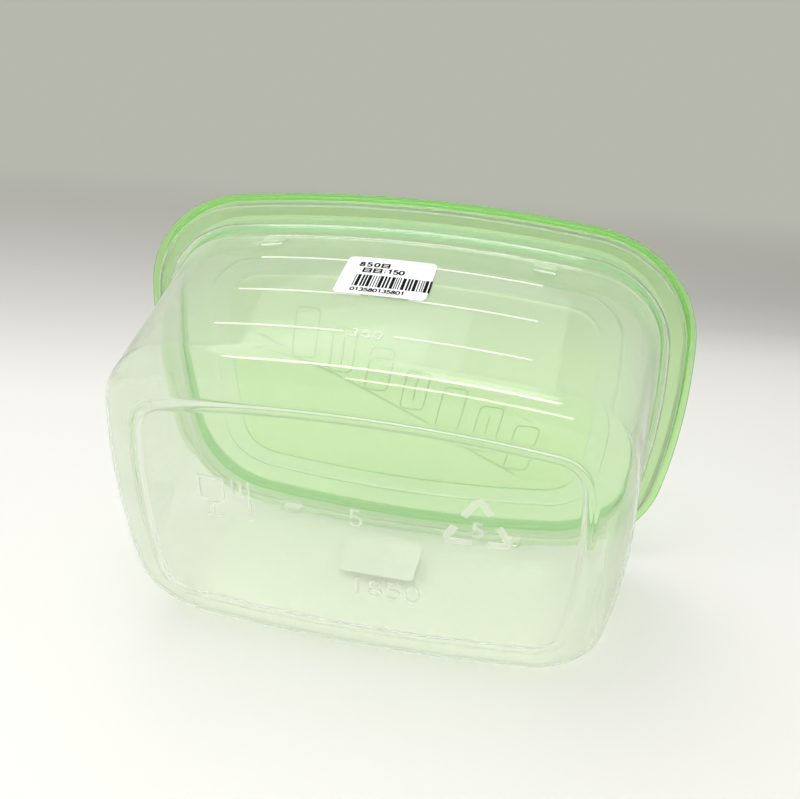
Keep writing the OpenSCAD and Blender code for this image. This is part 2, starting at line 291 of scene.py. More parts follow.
# %% The tub's stations
FOOT_INNER = -FOOT_RING_W - FOOT_SLOPE
HEEL_STEPS, SHOULDER_STEPS, FOOT_ROUND_STEPS, RIM_ROUND_STEPS = 16, 10, 6, 5
WALL_LEVELS, LUG_LEVELS, INSIDE_LEVELS = 13, 5, 8
foot_cuts, rim_cuts = (0.65, 1.15, 1.15), (0.9, 0.4, 0.3, 0.3, 1.2, 0.9)
wall_z = np.unique(np.concatenate([
    np.linspace(HEEL_Z, SHOULDER_Z, WALL_LEVELS)[1:],
    np.linspace(LUG_LOW, LUG_LOW + LUG_RISE, LUG_LEVELS)]))
outside = rounded(
    [foot(FOOT_INNER - 1, FOOT_RING_H), foot(FOOT_INNER, FOOT_RING_H), foot(-FOOT_RING_W, 0),
     foot(0, 0), foot(FOOT_SLOPE, FOOT_RING_H)], foot_cuts, FOOT_ROUND_STEPS)
outside += heel_round(foot(FOOT_SLOPE, FOOT_RING_H), heel(0, HEEL_Z), HEEL_STEPS)[1:]
outside += [wall_at(0, z) for z in wall_z]
outside += eased(wall_top(0, SHOULDER_Z), rim(COLLAR_LEAN, COLLAR_Z), SHOULDER_STEPS)[1:]
over = rounded(
    [rim(COLLAR_LEAN, COLLAR_Z), rim(0, BOX_H - WALL), rim(FLANGE_W - WALL, BOX_H - WALL),
     rim(FLANGE_W - WALL, LIP_Z), rim(FLANGE_W, LIP_Z), rim(FLANGE_W, BOX_H),
     rim(-WALL, BOX_H), rim(COLLAR_LEAN - WALL, COLLAR_Z + WALL / 2)],
    rim_cuts, RIM_ROUND_STEPS)
inside = eased(over[-1], wall_top(-WALL, SHOULDER_Z + WALL / 2), SHOULDER_STEPS)[1:]
inside += [wall_at(-WALL, z) for z in np.linspace(SHOULDER_Z, HEEL_Z, INSIDE_LEVELS)[1:-1]]
inside += heel_round(foot(FOOT_SLOPE, FLOOR_Z), heel(-WALL, HEEL_Z), HEEL_STEPS)[::-1]
inside += [foot(-1, FLOOR_Z)]
tub_path = outside + over[1:] + inside
print(len(tub_path), "stations round the tub's section")

# %% [markdown]
# A lug is a low block with sloping sides. Its height is a product of two ramps, one up the wall
# and one along it, eased so that it has no sharp edge.

# %% Lugs on the long walls, and the tub's mesh
def ramp(v, start, end, edge):
    """One between start and end, falling to nought over the edge's width outside them."""
    return np.clip(np.minimum(v - start, end - v) / edge + 1, 0, 1)


def raise_lugs(points):
    """Moves the outside of the long walls out, by smooth steps, where a lug stands."""
    x, y, z = np.abs(points[..., 0]), points[..., 1], points[..., 2]
    lug = ramp(z, LUG_LOW + LUG_RISE, SHOULDER_Z, LUG_RISE)
    lug = lug * ramp(x, LUG_FROM + LUG_SLOPE, LUG_TO - LUG_SLOPE, LUG_SLOPE)
    lug = lug * lug * (3 - 2 * lug)
    points[..., 1] += np.sign(y) * lug * LUG_PROUD


tub_points = outlines(tub_path)
first_wall = next(i for i, s in enumerate(tub_path) if s[3] >= HEEL_Z)
raise_lugs(tub_points[first_wall:first_wall + len(wall_z)])
tub = shell("tub_shell", tub_points)

# %% [markdown]
# ## The lid
# The lid is one moulding of even thickness. From the middle outwards it has a recess that takes
# the foot of a box stacked on it, a panel, a shelf, a slope down to a moat, the plug wall that
# stands inside the tub's collar, the rim over the flange, the skirt and the flared edge. Its
# underside and its top are two lists of stations, joined round the flared edge.

# %% The lid's stations
RECESS_FLOOR_O, RECESS_TOP_O = STACK_GAP - 2, STACK_GAP + RECESS_D
under = [
    foot(RECESS_FLOOR_O, RECESS_Z - LID), foot(STACK_GAP, RECESS_Z - LID),
    foot(RECESS_TOP_O, PANEL_Z - LID), rim(PANEL_O + LID / 2 - PANEL_LEAN, PANEL_Z - LID),
    rim(PANEL_O + LID / 2, SHELF_Z - LID), rim(SHELF_O, SHELF_Z - LID), rim(MOAT_O, MOAT_Z - LID),
    rim(PLUG_FOOT_O, MOAT_Z - LID), rim(PLUG_O, LID_UNDER_Z),
    rim(FLANGE_W + FIT_GAP, LID_UNDER_Z), rim(FLANGE_W + FIT_GAP, SKIRT_Z),
    rim(SKIRT_O, SKIRT_Z - FLARE_DROP * 0.75), rim(FLARE_O, SKIRT_Z - FLARE_DROP - LID / 2)]
top = [
    rim(FLARE_O, SKIRT_Z - FLARE_DROP + LID / 2), rim(SKIRT_O + LID, SKIRT_Z - FLARE_DROP * 0.25),
    rim(SKIRT_O, SKIRT_Z + LID), rim(SKIRT_O, LID_TOP_Z), rim(PLUG_O - LID, LID_TOP_Z),
    rim(PLUG_FOOT_O - LID, MOAT_Z), rim(MOAT_O, MOAT_Z), rim(SHELF_O, SHELF_Z),
    rim(PANEL_O, SHELF_Z), rim(PANEL_O - PANEL_LEAN, PANEL_Z), foot(RECESS_TOP_O, PANEL_Z),
    foot(STACK_GAP, RECESS_Z), foot(RECESS_FLOOR_O, RECESS_Z)]
under_cuts = (0.4, 0.4, 0.5, 0.4, 1.5, 1.5, 0.9, 0.5, 0.5, 0.5, 0.8, 0.35)
top_cuts = (0.35, 0.8, 0.7, 1.3, 1.3, 0.8, 1.5, 1.5, 0.5, 0.5, 0.4, 0.4)
lid_path = rounded(under + top, under_cuts + top_cuts, 5)
lid_points = outlines(lid_path)
lid = shell("lid_shell", lid_points)

# %% [markdown]
# Tinted plastic looks deeper where it is thick or seen along its face, and paler where it is stretched
# thin. The lid's points carry that as an attribute, which its material reads later: 1 on the plug wall,
# a little on the skirt, nought on the rim and the recess, and −1 between. The paler tint at −1, between
# the plug wall and the recess, is also a painted sheen: it lightens those rings as the lamps'
# reflections on them would.

# %% How deep the lid's tint is
# Margins of a few tenths keep each wall's rounded corners with it or out of it.
DEEP_PLUG, DEEP_SKIRT, DEEP_PLAIN, DEEP_THIN_SHEEN = 1.0, 0.2, 0.0, -1.0
half_length, _, _, height = np.array(lid_path).T
offset = half_length - RIM["length"] / 2
on_plug = (offset > PLUG_FOOT_O - LID - 0.5) & (offset < PLUG_O + 0.3) & (height < LID_UNDER_Z - 0.4)
on_skirt = offset > SKIRT_O + 0.2
in_recess = half_length < foot(STACK_GAP + RECESS_D / 2, 0)[0]
# −1 marks thin rings whose paler tint is also painted sheen.
deep = np.select([on_plug, on_skirt, in_recess, offset < PLUG_O],
                 [DEEP_PLUG, DEEP_SKIRT, DEEP_PLAIN, DEEP_THIN_SHEEN], DEEP_PLAIN)
attribute = lid.data.attributes.new("deep", "FLOAT", "POINT")
attribute.data.foreach_set("value", np.repeat(deep, lid_points.shape[1]))
print("stations on the plug wall:", on_plug.sum(), "on the skirt:", on_skirt.sum())

# %% [markdown]
# The recess carries a wide raised band, turned a little, as such lids have for stiffness and
# for a place to write. Its outline is the recess's own outline cut off by two straight lines.
# Seen from the middle, that is the nearer of the two at every angle, so one formula gives it.

# %% The lid's band
BAND_W, BAND_TURN, BAND_H, BAND_INSET = 26.0, math.radians(26), 0.3, 5.0
BAND_MARGIN, CLEAR = 0.9, 0.01


def band_top(x, y):
    """The band's height: full on one side, and falling gently over a third of it on the other."""
    across = (y * math.cos(BAND_TURN) - x * math.sin(BAND_TURN)) / BAND_W + 0.5
    t = np.clip(across * 3, 0, 1)
    return RECESS_Z + BAND_H * t * t * (3 - 2 * t)


def band_ring(inset, share, height, n=360):
    """A closed outline: the recess's outline and the band's two straight sides, both moved in
    by inset, whichever is nearer to the middle at each of n angles, and then shrunk to a
    share of that. Its height over the recess is a share of the band's own."""
    edge = outlines([foot(STACK_GAP - BAND_INSET - inset, 0)])[0]
    angle = np.arctan2(edge[:, 1], edge[:, 0])
    order = np.argsort(angle)
    t = np.linspace(-math.pi, math.pi, n, endpoint=False)
    reach = np.hypot(edge[:, 0], edge[:, 1])[order]
    far = np.interp(t, angle[order], reach, period=2 * math.pi)
    side = (BAND_W / 2 - inset) / np.maximum(np.abs(np.sin(t - BAND_TURN)), 1e-6)
    r = np.minimum(far, side) * share
    x, y = r * np.cos(t), r * np.sin(t)
    return np.stack([x, y, RECESS_Z + CLEAR + (band_top(x, y) - RECESS_Z) * height], -1)


# Each row holds an inset, a share of the outline and a share of the height.
band_rows = [(0.6, 1, 0), (0, 1, 0), (0, 1, 0.6), (BAND_H * 0.15, 1, 0.9), (BAND_H * 0.5, 1, 1)]
band_rows += [(BAND_MARGIN, share, 1) for share in (1, 0.8, 0.6, 0.4, 0.2, 0.02)]
band = shell("lid_band", np.stack([band_ring(*row) for row in band_rows]))

# %% [markdown]
# ## Raised marks and print
# Figures, graduation lines and bars are all strokes: flat lines with a width. One function lays
# a closed strip along each line and bends it onto a surface, with a round back for a moulded
# ridge and a flat one for ink. The digits are drawn with arcs in a cell one unit high, so no
# font is needed. Strokes of glass that overlap would show dark spots, so a digit's don't.

# %% Lines in a plane
RIDGE = ((-0.5, 0), (-0.36, 0.6), (-0.14, 1), (0.14, 1), (0.36, 0.6), (0.5, 0))
RIBBON = ((-0.5, 0), (-0.44, 0.5), (-0.36, 1), (0.36, 1), (0.44, 0.5), (0.5, 0))
INK = ((-0.5, 0), (-0.5, 1), (0.5, 1), (0.5, 0))


def arc(x, y, rx, ry, start, end, steps=14):
    """Points on an ellipse between two angles in degrees."""
    t = np.radians(np.linspace(start, end, steps + 1))
    return np.stack([x + rx * np.cos(t), y + ry * np.sin(t)], -1)


def line(*points):
    """A bent or straight line through points."""
    return np.array(points, float)


DIGITS = {
    "0": [arc(0.3, 0.5, 0.3, 0.5, 0, 360, 24)],
    "1": [line((0.1, 0.8), (0.34, 1.0), (0.34, 0.0))],
    "3": [np.concatenate([arc(0.28, 0.75, 0.25, 0.25, 155, -90),
                          arc(0.28, 0.26, 0.31, 0.26, 80, -155)])],
    "5": [np.concatenate([line((0.54, 1.0), (0.1, 1.0), (0.08, 0.57)),
                          arc(0.27, 0.31, 0.31, 0.31, 95, -150)])],
    "8": [arc(0.3, 0.79, 0.23, 0.2, 0, 360), arc(0.3, 0.235, 0.29, 0.235, 0, 360)],
}


def number(text, x, y, height, pitch):
    """The strokes of a row of digits that starts at x, y."""
    return [s * height + (x + i * pitch, y) for i, c in enumerate(text) for s in DIGITS[c]]


print("digits drawn:", " ".join(sorted(DIGITS)))

# %% [markdown]
# A curve with a bevel would give round cords that stand off a bent wall. Here the strip's
# points are set out in the flat drawing first and bent onto the surface after that, so a
# stroke keeps its width and its height wherever it lies.

# %% Strokes on a surface
SHARPEST = 0.8


def strokes(name, lines, place, width, height, profile):
    """Closed strips along flat lines. place(u, v, h) gives the point that is h off the surface
    at u, v. The profile's pairs are across, in widths, and up, in heights. At each point of a
    line the strip is set out square to the mean of the two directions that meet there, and
    farther out the sharper they turn, but held back where they turn right round."""
    side, lift = np.array(profile, float).T
    k, verts, faces, total = len(profile), [], [], 0
    for points in lines:
        p = np.asarray(points, float)
        loop = np.allclose(p[0], p[-1])
        step = np.diff(p, axis=0)
        step /= np.linalg.norm(step, axis=1, keepdims=True)
        before = np.vstack([step[-1:] if loop else step[:1], step])
        after = np.vstack([step, step[:1] if loop else step[-1:]])
        mean = before + after
        reach = 2 / np.maximum((mean ** 2).sum(1), SHARPEST)
        out = np.stack([-mean[:, 1], mean[:, 0]], -1) * reach[:, None]
        if loop:
            p, out = p[:-1], out[:-1]
        q = p[:, None] + out[:, None] * (side * width)[None, :, None]
        rise = np.broadcast_to(lift * height, q.shape[:2])
        verts.append(place(q[..., 0], q[..., 1], rise).reshape(-1, 3))
        n = len(p)
        i = np.arange(n if loop else n - 1)[:, None] * k
        j = np.arange(k)[None]
        ahead, beside = (i + k) % (n * k), (j + 1) % k
        quads = np.stack([i + j, ahead + j, ahead + beside, i + beside], -1)
        faces += list((quads + total).reshape(-1, 4))
        if not loop:
            faces += [total + np.arange(k), total + (n - 1) * k + np.arange(k)[::-1]]
        total += n * k
    obj = mesh_from(name, np.concatenate(verts), faces, smooth=False)
    print(name, "has", len(lines), "strokes and", len(faces), "faces")
    return obj

# %% [markdown]
# ### Marks on the front wall
# Three graduation lines show how full the box is, each of them broken in the middle, with plain
# figures at the lowest. The wall at one height is an arc of a circle, so a point on it follows
# from x and z alone.

# %% Graduation lines and figures
MARK_Z = (21.2, 42.3, 64.4)
MARK_FROM, MARK_TO, MARK_W, MARK_PROUD = 7.8, 48.6, 0.55, 0.3
MARK_POINTS, FIGURE_X = 14, -5.6
FIGURE_H, FIGURE_PITCH, FIGURE_W, FIGURE_PROUD = 3.8, 3.7, 0.6, 0.16


def front_wall(x, z, o):
    """Points of the front wall, o outside it: at each height the wall is a circle's arc."""
    b = heel(0, 0)[1] + SIDE_TAPER * (z - HEEL_Z) / (SHOULDER_Z - HEEL_Z) + o
    r = LONG_BOW + b - RIM["width"] / 2
    return np.stack([x, r - b - np.sqrt(r * r - x * x), z + 0 * x], -1)


def on_wall(u, v, h):
    """A point of the drawing on the front wall: x is u, z is v, and it stands h off the wall."""
    return front_wall(u, v, h + CLEAR)


mark_x = np.linspace(MARK_FROM, MARK_TO, MARK_POINTS)
wall_lines = [line(*[(side * x, z) for x in mark_x]) for z in MARK_Z for side in (-1, 1)]
wall_lines = strokes("wall_lines", wall_lines, on_wall, MARK_W, MARK_PROUD, RIDGE)
figures = number("350", FIGURE_X, MARK_Z[0] - FIGURE_H / 2, FIGURE_H, FIGURE_PITCH)
wall_figures = strokes("wall_figures", figures, on_wall, FIGURE_W, FIGURE_PROUD, RIDGE)

# %% [markdown]
# ### Marks under the base
# The base carries a cup and bars, a triangle of three bent ribbons round a figure, a small
# figure and the capacity in millilitres. A ribbon is bent round its corner by a quadratic
# curve, and starts and ends part of the way along the triangle's sides. The drawing's own
# coordinates are millimetres from the middle of the base, as it is seen from below.

# %% Cup, bars, ribbons and figures
BASE_W, BASE_PROUD, RIBBON_W, RIBBON_PROUD = 1.0, 0.2, 2.4, 0.22
BEND, TAIL, HEAD = 0.16, 0.42, 0.34


def on_base(u, v, h):
    """The floor's underside, seen from below with x to the right: up in the drawing is -y."""
    return np.stack([u, -v, FOOT_RING_H - CLEAR - h], -1)


def ribbon(before, here, after):
    """A line from part of the way back to the corner before, round here, towards the one after."""
    near, far = (here + (c - here) * BEND for c in (before, after))
    turn = [(1 - t) ** 2 * near + 2 * t * (1 - t) * here + t * t * far for t in np.linspace(0, 1, 7)]
    return line(here + (before - here) * TAIL, *turn, here + (after - here) * HEAD)


bowl = arc(-46.9, 7.5, 4.0, 3.6, 180, 360)[1:-1]
cup = [line((-50.8, 14.4), (-50.9, 7.5), *bowl, (-42.9, 7.5), (-42.8, 14.4), (-50.8, 14.4)),
       line((-46.9, 3.3), (-46.9, -0.5)), line((-49.4, -1.2), (-44.4, -1.2))]
bars = [line((x, 14.6), (x, low)) for x, low in ((-39.5, 8.5), (-36.9, 8.5), (-34.3, -1.4))]
corners = line((38.6, 21.5), (49.6, 4.4), (28.2, 3.4))
ribbons = [ribbon(corners[i - 1], corners[i], corners[(i + 1) % 3]) for i in range(3)]
base_lines = cup + bars + number("5", -1.2, 3.6, 6.0, 4.0) + number("5", 37.2, 6.6, 5.2, 4.0)
base_lines += number("1850", -1.6, -26.6, 7.0, 6.3)
base_ribbons = strokes("base_ribbons", ribbons, on_base, RIBBON_W, RIBBON_PROUD, RIBBON)
base_marks = strokes("base_marks", base_lines, on_base, BASE_W, BASE_PROUD, RIBBON)

# %% [markdown]
# ### Marks on the lid's band
# Seven bare upright loops adorn the band, every second with a short stroke inside. Each leans a
# little and stands on the band's middle line. A thin line follows the band's straight edge on
# its high side.

# %% Loops and the edge line
LOOPS, LOOP_FROM, LOOP_PITCH = 7, -42.0, 15.0
LOOP_W, LOOP_H, LOOP_SLANT, LOOP_R = 9.6, 21.0, -3.6, 2.4
INNER_X, INNER_Y = 1.0, 6.0
LID_MARK_W, LID_MARK_PROUD = 0.34, 0.3
EDGE_INSET, EDGE_REACH = 0.7, 0.8


def on_band(u, v, h):
    """A point of the drawing on the band's bent top, h above it."""
    return np.stack([u, v, band_top(u, v) + 2 * CLEAR + h], -1)


def slanted_loop(x, y):
    """A rounded upright loop about x, y, leaning by the slant over its height."""
    w, h, r = LOOP_W / 2 - LOOP_R, LOOP_H / 2 - LOOP_R, LOOP_R
    q = np.concatenate([arc(w, h, r, r, 0, 90, 5), arc(-w, h, r, r, 90, 180, 5),
                        arc(-w, -h, r, r, 180, 270, 5), arc(w, -h, r, r, 270, 360, 5)])
    q = np.concatenate([q, q[:1]])
    return q + np.stack([x + q[:, 1] / LOOP_H * LOOP_SLANT, np.full(len(q), y)], -1)


lid_lines = []
for i in range(LOOPS):
    x = LOOP_FROM + LOOP_PITCH * i
    y = math.tan(BAND_TURN) * x
    lid_lines.append(slanted_loop(x, y))
    if i % 2:
        lid_lines.append(line((x - INNER_X, y + INNER_Y), (x + INNER_X, y - INNER_Y)))
band_edge = band_ring(EDGE_INSET, 1, 1)[:, :2]
band_across = band_edge @ [-math.sin(BAND_TURN), math.cos(BAND_TURN)]
high_side = band_edge[band_across > BAND_W / 2 - EDGE_REACH]
lid_lines.append(high_side[np.argsort(high_side[:, 0])])
lid_marks = strokes("lid_marks", lid_lines, on_band, LID_MARK_W, LID_MARK_PROUD, RIDGE)

# %% [markdown]
# ## The plastics
# Both plastics are glass shaders with real thickness between their two sides. Three things are
# added. Lamps shine through by a plain see-through shader, because refracting shadow rays would
# leave the inside black. A milky share scatters light both ways, more of it where the sheet is
# seen along its face. And a slow noise, shared by all the materials as a node group, makes the
# gloss and the surface slightly uneven, as mouldings are.

# %% Node helpers
def node_material(name):
    """A material with an empty node tree, that tree and its output node."""
    mat = bpy.data.materials.new(name)
    mat.use_nodes = True
    tree = mat.node_tree
    tree.nodes.clear()
    return mat, tree, tree.nodes.new("ShaderNodeOutputMaterial")


def math_node(tree, operation, *values):
    """A math node whose inputs are numbers or sockets."""
    node = tree.nodes.new("ShaderNodeMath")
    node.operation = operation
    for socket, value in zip(node.inputs, values):
        if isinstance(value, (int, float)):
            socket.default_value = value
        else:
            tree.links.new(value, socket)
    return node.outputs[0]


def mix_shaders(tree, share, first, second):
    """A mix of two shaders by a share that is a number or a socket."""
    mix = tree.nodes.new("ShaderNodeMixShader")
    if isinstance(share, float):
        mix.inputs["Fac"].default_value = share
    else:
        tree.links.new(share, mix.inputs["Fac"])
    tree.links.new(first, mix.inputs[1])
    tree.links.new(second, mix.inputs[2])
    return mix.outputs[0]


def uneven_group():
    """A shared effect: a slow noise over the object that makes the gloss and height vary."""
    group = bpy.data.node_groups.new("uneven", "ShaderNodeTree")
    for name, default in (("Scale", 90.0), ("Roughness", 0.05), ("Spread", 0.02)):
        socket = group.interface.new_socket(name, in_out="INPUT", socket_type="NodeSocketFloat")
        socket.default_value = default
    for name in ("Roughness", "Height"):
        group.interface.new_socket(name, in_out="OUTPUT", socket_type="NodeSocketFloat")
    given, made = group.nodes.new("NodeGroupInput"), group.nodes.new("NodeGroupOutput")
    place = group.nodes.new("ShaderNodeTexCoord")
    noise = group.nodes.new("ShaderNodeTexNoise")
    noise.inputs["Detail"].default_value = 1.0
    group.links.new(place.outputs["Object"], noise.inputs["Vector"])
    group.links.new(given.outputs["Scale"], noise.inputs["Scale"])
    off = math_node(group, "SUBTRACT", noise.outputs[0], 0.5)
    vary = math_node(group, "MULTIPLY", off, given.outputs["Spread"])
    rough = math_node(group, "ADD", given.outputs["Roughness"], vary)
    group.links.new(rough, made.inputs["Roughness"])
    group.links.new(off, made.inputs["Height"])
    return group


UNEVEN = uneven_group()
print("shared group", UNEVEN.name, "with", len(UNEVEN.nodes), "nodes")

# %% [markdown]
# A plastic is put together from a few parts that each do one thing: the uneven gloss, the tint
# that an attribute steers, the milk, and the see-through shader for the lamps. A plastic takes
# those that it needs.

# %% Parts of a plastic
PLASTIC_WAVES, PLASTIC_WAVE_H = 110, 0.00002
MILK_EDGE_POWER = 3.0


def make_uneven(tree, bsdf, scale, roughness, spread, depth):
    """Lets the shared noise drive a Principled shader's roughness and, by depth, its bumps."""
    node = tree.nodes.new("ShaderNodeGroup")
    node.node_tree = UNEVEN
    for name, value in (("Scale", scale), ("Roughness", roughness), ("Spread", spread)):
        node.inputs[name].default_value = value
    tree.links.new(node.outputs["Roughness"], bsdf.inputs["Roughness"])
    if depth:
        bump = tree.nodes.new("ShaderNodeBump")
        bump.inputs["Distance"].default_value = depth
        tree.links.new(node.outputs["Height"], bump.inputs["Height"])
        tree.links.new(bump.outputs["Normal"], bsdf.inputs["Normal"])


def tint_by_depth(tree, bsdf, pale, plain, strong):
    """Colours the shader by the attribute "deep": pale at −1, plain at nought, strong at 1. The pale end
    is partly painted sheen.
    """
    amount = tree.nodes.new("ShaderNodeAttribute")
    amount.attribute_name = "deep"
    tint = tree.nodes.new("ShaderNodeValToRGB")
    share = math_node(tree, "MULTIPLY_ADD", amount.outputs["Fac"], 0.5, 0.5)
    tree.links.new(share, tint.inputs["Fac"])
    tint.color_ramp.elements.new(0.5)
    for element, at, colour in zip(tint.color_ramp.elements, (0, 0.5, 1), (pale, plain, strong)):
        element.position = at
        element.color = (*colour, 1)
    tree.links.new(tint.outputs["Color"], bsdf.inputs["Base Color"])


def add_milk(tree, surface, colour, low, high):
    """Mixes in a cloud that scatters light both ways: a share low of it face on, and high
    where the sheet is seen along its face."""
    lit = tree.nodes.new("ShaderNodeBsdfDiffuse")
    through = tree.nodes.new("ShaderNodeBsdfTranslucent")
    for node in (lit, through):
        node.inputs["Color"].default_value = (*colour, 1)
    cloud = mix_shaders(tree, 0.5, lit.outputs[0], through.outputs[0])
    weight = tree.nodes.new("ShaderNodeLayerWeight")
    weight.inputs["Blend"].default_value = 0.5
    along_face = math_node(tree, "POWER", weight.outputs["Facing"], MILK_EDGE_POWER)
    share = math_node(tree, "MULTIPLY_ADD", along_face, high - low, low)
    return mix_shaders(tree, share, surface, cloud)


def plastic(name, colour, glass, roughness, shade, milk=None, absorb=None, deep=None, ior=1.49):
    """Clear or tinted plastic. Lamps shine through it as through thin plastic, by a plain
    see-through shader for shadow rays, and everything else meets the refracting shader."""
    mat, tree, out = node_material(name)
    bsdf = tree.nodes.new("ShaderNodeBsdfPrincipled")
    bsdf.inputs["Base Color"].default_value = (*colour, 1)
    bsdf.inputs["IOR"].default_value = ior
    bsdf.inputs["Transmission Weight"].default_value = glass
    make_uneven(tree, bsdf, PLASTIC_WAVES, roughness, roughness / 2, PLASTIC_WAVE_H)
    if deep:
        tint_by_depth(tree, bsdf, deep[0], colour, deep[1])
    surface = add_milk(tree, bsdf.outputs[0], *milk) if milk else bsdf.outputs[0]
    clear = tree.nodes.new("ShaderNodeBsdfTransparent")
    clear.inputs["Color"].default_value = (*shade, 1)
    path = tree.nodes.new("ShaderNodeLightPath")
    seen = mix_shaders(tree, path.outputs["Is Shadow Ray"], surface, clear.outputs[0])
    tree.links.new(seen, out.inputs["Surface"])
    if absorb:
        density, tint = absorb
        volume = tree.nodes.new("ShaderNodeVolumeAbsorption")
        volume.inputs["Color"].default_value = (*tint, 1)
        volume.inputs["Density"].default_value = density
        tree.links.new(volume.outputs[0], out.inputs["Volume"])
    return mat


print("bumps of", PLASTIC_WAVE_H / MM, "mm on the plastics")

# %% [markdown]
# The tub is almost clear and the lid a light green. The tint is met at each surface, twice per sheet, so
# it is paler than the plastic looks. The tub's milk has a green cast, painted light for the green glow
# that the lid throws into the box. The moulded marks are made more milky than the sheet they stand on, a
# painted highlight: they show pale, as the lamps' reflections on their slopes would make them, where a
# clear ridge would mirror dark things. The lid's band lies on the lid with a hair of air between, so it
# bends light only a little, or it would look silvery.

# %% The plastics and what they are put on
NO_SHADE, MARK_COLOUR = (1, 1, 1), (0.99, 0.99, 0.98)
# Painted light: the tub's milk is tinted green for the glow that the lid throws into the box.
tub_plastic = plastic("tub_plastic", (0.95, 0.962, 0.93), 0.97, 0.04, (0.918, 0.924, 0.916),
                      milk=((0.82, 0.87, 0.75), 0.06, 0.7))
lid_plastic = plastic("lid_plastic", (0.86, 0.98, 0.65), 0.95, 0.06, (0.86, 0.9, 0.83),
                      milk=((0.5, 0.88, 0.32), 0.13, 0.4), absorb=(300, (0.35, 0.85, 0.25)),
                      deep=((0.91, 0.985, 0.77), (0.63, 0.93, 0.6)))
# Painted highlight: the marks' extra milk makes them pale, as the lamps' reflections on them would.
tub_relief = plastic("tub_relief", MARK_COLOUR, 1.0, 0.08, NO_SHADE, milk=((0.95, 0.97, 0.9), 0.3, 0.8))
tub_line = plastic("tub_line", MARK_COLOUR, 1.0, 0.08, NO_SHADE, milk=((1.0, 1.0, 0.95), 0.7, 0.9))
lid_relief = plastic("lid_relief", (0.95, 0.99, 0.9), 1.0, 0.06, NO_SHADE, ior=1.12)
lid_line = plastic("lid_line", (0.62, 0.86, 0.5), 1.0, 0.06, NO_SHADE, milk=((0.2, 0.48, 0.2), 0.6, 0.9))
TUB_PIECES = ((tub, tub_plastic), (wall_lines, tub_line), (wall_figures, tub_relief),
              (base_marks, tub_relief), (base_ribbons, tub_relief))
LID_PIECES = ((lid, lid_plastic), (band, lid_relief), (lid_marks, lid_line))
for pieces, body, slot in ((TUB_PIECES, "tub", "tub_plastic"), (LID_PIECES, "lid", "lid_plastic")):
    for obj, mat in pieces:
        obj.data.materials.append(mat)
        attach(obj, body)
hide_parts("tub")
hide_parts("lid")
print(len(TUB_PIECES), "pieces ride on the tub and", len(LID_PIECES), "on the lid")

# %% [markdown]
# ## The labels
# A price label is a thin sheet of paper with round corners, bent with the wall. A plane with a
# picture would need a file, and its edge would have no thickness, so each label is a grid of
# points on the wall's own formula, given a front and a back. The one on the back wall is the
# same sheet turned half way round the box, and the camera sees it only through the plastic.

# %% Label sheets
LABEL = dict(length=30.4, height=24.2, corner=2.0, x=-2.0, z=54.4, thick=0.15)
LABEL_GAP, BACK_LABEL_GAP = 0.4, 0.05
BACK_LABEL = dict(x=-3.0, z=SHOULDER_Z - 10.7 - LABEL["height"] / 2)
LABEL_COLUMNS, LABEL_ROWS, CROWDING = 41, 9, 1.6


def slab(name, front, back):
    """A closed thin piece from two grids of points, front and back, joined round the edge."""
    m, n = front.shape[:2]
    grid = np.arange(m * n).reshape(m, n)
    quads = np.stack([grid[:-1, :-1], grid[1:, :-1], grid[1:, 1:], grid[:-1, 1:]], -1).reshape(-1, 4)
    edge = np.concatenate([grid[0, :-1], grid[:-1, -1], grid[-1, :0:-1], grid[:0:-1, 0]])
    after = np.roll(edge, -1)
    sides = np.stack([edge, after, after + m * n, edge + m * n], -1)
    faces = list(quads) + list(quads[:, ::-1] + m * n) + list(sides)
    points = np.concatenate([front.reshape(-1, 3), back.reshape(-1, 3)])
    return mesh_from(name, points, faces, smooth=False)


def label_sheet(name, x, z, gap, side):
    """A label on the front wall at x, z, its back a gap off the wall. Side -1 turns it half way
    round the box, onto the back wall. Its columns crowd towards both ends, where a circle's
    equation rounds the corners."""
    t = np.linspace(-1, 1, LABEL_COLUMNS)[:, None]
    t = np.sign(t) * (1 - (1 - np.abs(t)) ** CROWDING)
    v = np.linspace(-1, 1, LABEL_ROWS)[None]
    across = t * LABEL["length"] / 2
    past = np.clip(np.abs(across) - (LABEL["length"] / 2 - LABEL["corner"]), 0, None)
    half = LABEL["height"] / 2 - LABEL["corner"] + np.sqrt(LABEL["corner"] ** 2 - past ** 2)
    place = side * x + across + 0 * v
    turned = np.array([side, side, 1])
    front, back = (front_wall(place, z + v * half, gap + k) * turned for k in (LABEL["thick"], 0))
    obj = slab(name, front, back)
    print(name, "has", len(obj.data.polygons), "faces")
    return obj


label = label_sheet("label_paper", LABEL["x"], LABEL["z"], LABEL_GAP, 1)
back_label = label_sheet("back_label_paper", BACK_LABEL["x"], BACK_LABEL["z"], BACK_LABEL_GAP, -1)

# %% [markdown]
# The print is ink strokes: two rows of digits and squares, a row of bars and the digits under
# them. A font would make letters of thousands of faces, and strokes need none. The bars' widths
# and gaps repeat by a rule, so they mean nothing. Bars of one width are one piece.

# %% Print on the front label
INK_H, TEXT_W, DIGIT_W = 0.02, 0.68, 0.5
BAR_WIDTHS, BAR_GAPS = (0.35, 0.7, 0.35, 1.1, 0.35, 0.7, 0.35), (0.4, 0.3, 0.55)
BARS_FROM, BARS_TO, BAR_LOW, BAR_HIGH = -10.0, 15.0, -7.2, 0.3


def on_label(u, v, h):
    """A point of the drawing, whose middle is the label's own, h off the label's face."""
    return front_wall(LABEL["x"] + u, LABEL["z"] + v, LABEL_GAP + LABEL["thick"] + h)


def square(x, y, size):
    """A square with a line across its middle."""
    outline = line((x, y), (x + size, y), (x + size, y + size), (x, y + size), (x, y))
    return [outline, line((x, y + size / 2), (x + size, y + size / 2))]


